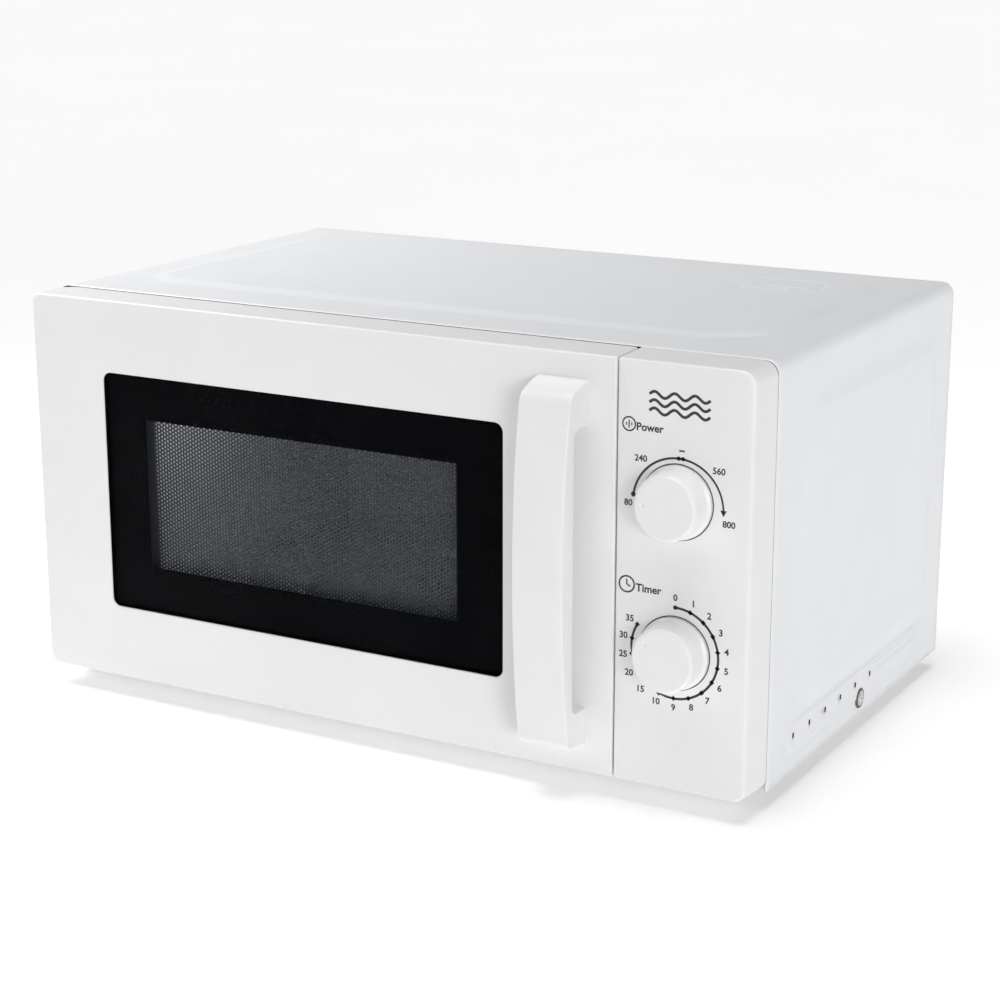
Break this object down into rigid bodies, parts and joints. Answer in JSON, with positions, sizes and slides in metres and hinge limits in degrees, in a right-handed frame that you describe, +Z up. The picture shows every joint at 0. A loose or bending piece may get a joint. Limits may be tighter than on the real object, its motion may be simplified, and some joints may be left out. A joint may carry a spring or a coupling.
{
  "type": "microwave oven",
  "caption": "White countertop microwave oven with a side-hinged windowed door, bow handle, power and timer knobs, and a glass turntable inside.",
  "frame": {"origin": "bottom centre of the bounding box, on the surface that the feet stand on", "axes": "+X right as seen from the front, +Y back, +Z up; the door and knobs face -Y"},
  "size_m": [0.455, 0.3194, 0.2385],
  "materials": {
    "white_steel": "satin",
    "white_moulding": "satin",
    "window_glass": "gloss",
    "screen_steel": "satin",
    "choke_plastic": "matte",
    "clear_sheet": "gloss",
    "cavity_enamel": "gloss",
    "zinc_steel": "satin",
    "screw_steel": "satin",
    "nylon": "matte",
    "tray_glass": "gloss",
    "foot_rubber": "matte",
    "black_plastic": "matte",
    "mica": "satin",
    "aluminium": "satin",
    "ferrite": "matte",
    "copper": "satin",
    "core_steel": "satin",
    "lead_sleeve": "satin",
    "board": "matte",
    "lamp_glass": "gloss"
  },
  "bodies": {
    "cabinet": {"outer_wrap": "white_steel", "base_plate": "zinc_steel", "rear_panel": "zinc_steel", "cord_gland": "black_plastic", "feet": "foot_rubber", "case_screws": "screw_steel", "oven_cavity": "cavity_enamel", "front_plate": "cavity_enamel", "lower_hinge": "zinc_steel", "upper_hinge": "zinc_steel", "waveguide": "zinc_steel", "waveguide_cover": "mica", "magnetron_yoke": "zinc_steel", "magnetron_magnets": "ferrite", "magnetron_anode": "copper", "magnetron_fins": "aluminium", "magnetron_filter_box": "zinc_steel", "transformer_core": "core_steel", "transformer_windings": "copper", "transformer_bolts": "screw_steel", "hv_capacitor": "aluminium", "capacitor_clamp": "zinc_steel", "hv_diode": "black_plastic", "fan_shroud": "nylon", "fan_motor": "core_steel", "lamp_holder": "black_plastic", "lamp_bulb": "lamp_glass", "thermal_cutout": "black_plastic", "filter_board": "board", "line_fuse": "lamp_glass", "wiring_loom": "lead_sleeve", "turntable_motor": "black_plastic", "control_panel": "white_moulding", "control_bracket": "zinc_steel", "power_unit": "black_plastic", "timer_unit": "black_plastic", "timer_bell": "zinc_steel", "latch_frame": "nylon", "interlock_switches": "black_plastic"},
    "door": {"door_frame": "white_moulding", "door_glass": "window_glass", "choke_panel": "screen_steel", "choke_cover": "choke_plastic", "inner_window": "clear_sheet", "handle": "white_moulding", "handle_screws": "screw_steel", "latch_spring": "screw_steel"},
    "latch": {"door_latch": "nylon"},
    "power_control": {"power_knob": "white_moulding", "power_shaft": "screw_steel"},
    "timer_control": {"timer_knob": "white_moulding", "timer_shaft": "screw_steel"},
    "turntable": {"glass_tray": "tray_glass", "turntable_coupler": "nylon"},
    "roller_ring": {"roller_ring": "nylon"},
    "roller_1": {"tray_roller_1": "nylon"},
    "roller_2": {"tray_roller_2": "nylon"},
    "roller_3": {"tray_roller_3": "nylon"},
    "fan": {"fan_blade": "nylon", "fan_shaft": "screw_steel"}
  },
  "joints": [
    {"name": "door_swing", "type": "hinge", "parent": "cabinet", "child": "door", "pos_m": [-0.217, -0.12025, 0.12], "axis": [0, 0, -1], "range_deg": [0, 100]},
    {"name": "latch_lift", "type": "slide", "parent": "door", "child": "latch", "axis": [0, 0, 1], "range_m": [0, 0.003], "stiffness_N_per_m": 300, "springref_m": -0.003, "deforming": ["latch_spring"]},
    {"name": "power_turn", "type": "hinge", "parent": "cabinet", "child": "power_control", "pos_m": [0.1843, -0.13225, 0.166], "axis": [0, 1, 0], "range_deg": [0, 180]},
    {"name": "timer_turn", "type": "hinge", "parent": "cabinet", "child": "timer_control", "pos_m": [0.1843, -0.13225, 0.087], "axis": [0, 1, 0], "range_deg": [0, 300]},
    {"name": "tray_spin", "type": "hinge", "parent": "cabinet", "child": "turntable", "pos_m": [-0.042, 0.01885, 0.05], "axis": [0, 0, 1], "continuous": true},
    {"name": "ring_spin", "type": "hinge", "parent": "cabinet", "child": "roller_ring", "pos_m": [-0.042, 0.01885, 0.0433], "axis": [0, 0, 1], "continuous": true},
    {"name": "roller_1_spin", "type": "hinge", "parent": "roller_ring", "child": "roller_1", "pos_m": [-0.042, 0.11585, 0.0433], "axis": [0, 1, 0], "continuous": true},
    {"name": "roller_2_spin", "type": "hinge", "parent": "roller_ring", "child": "roller_2", "pos_m": [-0.126, -0.02965, 0.0433], "axis": [-0.866, -0.5, 0], "continuous": true},
    {"name": "roller_3_spin", "type": "hinge", "parent": "roller_ring", "child": "roller_3", "pos_m": [0.042, -0.02965, 0.0433], "axis": [0.866, -0.5, 0], "continuous": true},
    {"name": "fan_spin", "type": "hinge", "parent": "cabinet", "child": "fan", "pos_m": [0.168, 0.11775, 0.176], "axis": [0, 1, 0], "continuous": true}
  ],
  "couplings": [
    {"joint": "ring_spin", "follows": "tray_spin", "ratio": 0.5},
    {"joint": "roller_1_spin", "follows": "tray_spin", "ratio": -6.9286},
    {"joint": "roller_2_spin", "follows": "tray_spin", "ratio": -6.9286},
    {"joint": "roller_3_spin", "follows": "tray_spin", "ratio": -6.9286}
  ]
}
